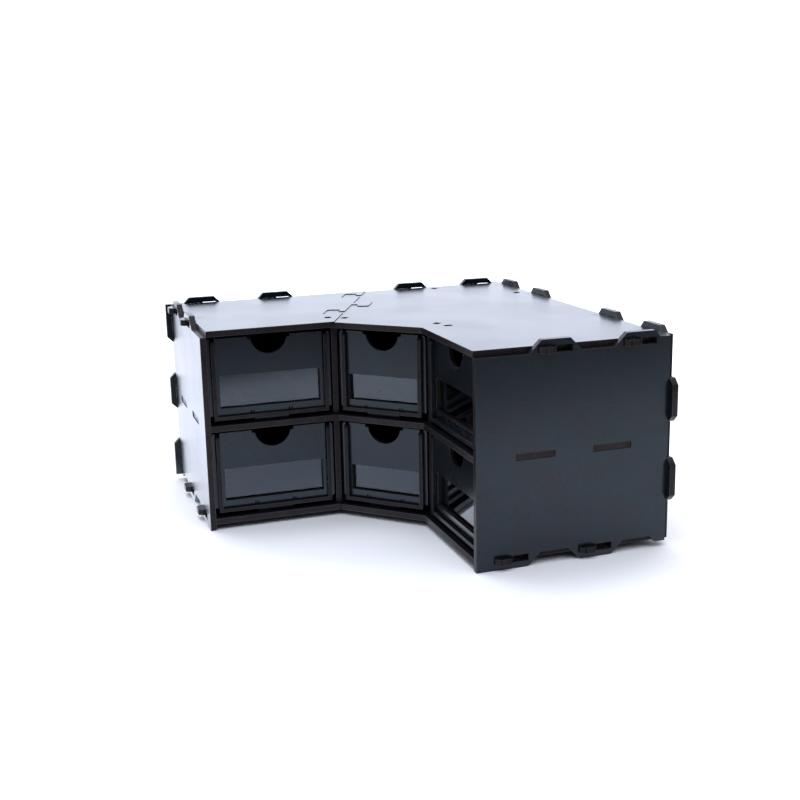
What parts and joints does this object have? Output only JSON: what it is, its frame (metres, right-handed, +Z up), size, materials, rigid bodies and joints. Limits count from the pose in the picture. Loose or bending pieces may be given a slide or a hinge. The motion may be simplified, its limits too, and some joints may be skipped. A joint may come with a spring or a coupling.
{
  "type": "corner drawer rack",
  "caption": "Concave corner drawer rack of thin black board for paints and small parts, with window-fronted drawers on two tiers and snap hooks for joining and stacking modules.",
  "frame": {"origin": "on the ground, under the middle of the square plan", "axes": "+Z up; the left wing's drawers open towards -Y and the right wing's towards -X"},
  "size_m": [0.206, 0.206, 0.104],
  "materials": {
    "board": "thin hardboard with satin black faces and dark brown laser-cut edges",
    "pane": "clear polished acrylic"
  },
  "bodies": {
    "cabinet": {"top_panel_left": "board", "top_panel_corner": "board", "shelf_left": "board", "shelf_corner": "board", "floor_panel_left": "board", "floor_panel_corner": "board", "side_panel_left": "board", "side_panel_right": "board", "back_panel_left": "board", "back_panel_right": "board", "partition_left": "board", "partition_middle_left": "board", "partition_middle_right": "board", "partition_right": "board"},
    "drawer_left_lower": {"drawer_left_lower_front": "board", "drawer_left_lower_side_left": "board", "drawer_left_lower_side_right": "board", "drawer_left_lower_back": "board", "drawer_left_lower_base": "board", "drawer_left_lower_window": "pane"},
    "drawer_middle_lower": {"drawer_middle_lower_front": "board", "drawer_middle_lower_side_left": "board", "drawer_middle_lower_side_right": "board", "drawer_middle_lower_back": "board", "drawer_middle_lower_base": "board", "drawer_middle_lower_window": "pane"},
    "drawer_right_lower": {"drawer_right_lower_front": "board", "drawer_right_lower_side_left": "board", "drawer_right_lower_side_right": "board", "drawer_right_lower_back": "board", "drawer_right_lower_base": "board", "drawer_right_lower_window": "pane"},
    "drawer_left_upper": {"drawer_left_upper_front": "board", "drawer_left_upper_side_left": "board", "drawer_left_upper_side_right": "board", "drawer_left_upper_back": "board", "drawer_left_upper_base": "board", "drawer_left_upper_window": "pane"},
    "drawer_middle_upper": {"drawer_middle_upper_front": "board", "drawer_middle_upper_side_left": "board", "drawer_middle_upper_side_right": "board", "drawer_middle_upper_back": "board", "drawer_middle_upper_base": "board", "drawer_middle_upper_window": "pane"},
    "drawer_right_upper": {"drawer_right_upper_front": "board", "drawer_right_upper_side_left": "board", "drawer_right_upper_side_right": "board", "drawer_right_upper_back": "board", "drawer_right_upper_base": "board", "drawer_right_upper_window": "pane"}
  },
  "joints": [
    {"name": "left_lower_slide", "type": "slide", "parent": "cabinet", "child": "drawer_left_lower", "axis": [0, -1, 0], "range_m": [0, 0.038]},
    {"name": "middle_lower_slide", "type": "slide", "parent": "cabinet", "child": "drawer_middle_lower", "axis": [0.7071, 0.7071, 0], "range_m": [-0.09, 0]},
    {"name": "right_lower_slide", "type": "slide", "parent": "cabinet", "child": "drawer_right_lower", "axis": [-1, 0, 0], "range_m": [0, 0.038]},
    {"name": "left_upper_slide", "type": "slide", "parent": "cabinet", "child": "drawer_left_upper", "axis": [0, -1, 0], "range_m": [0, 0.038]},
    {"name": "middle_upper_slide", "type": "slide", "parent": "cabinet", "child": "drawer_middle_upper", "axis": [0.7071, 0.7071, 0], "range_m": [-0.09, 0]},
    {"name": "right_upper_slide", "type": "slide", "parent": "cabinet", "child": "drawer_right_upper", "axis": [-1, 0, 0], "range_m": [0, 0.038]}
  ]
}
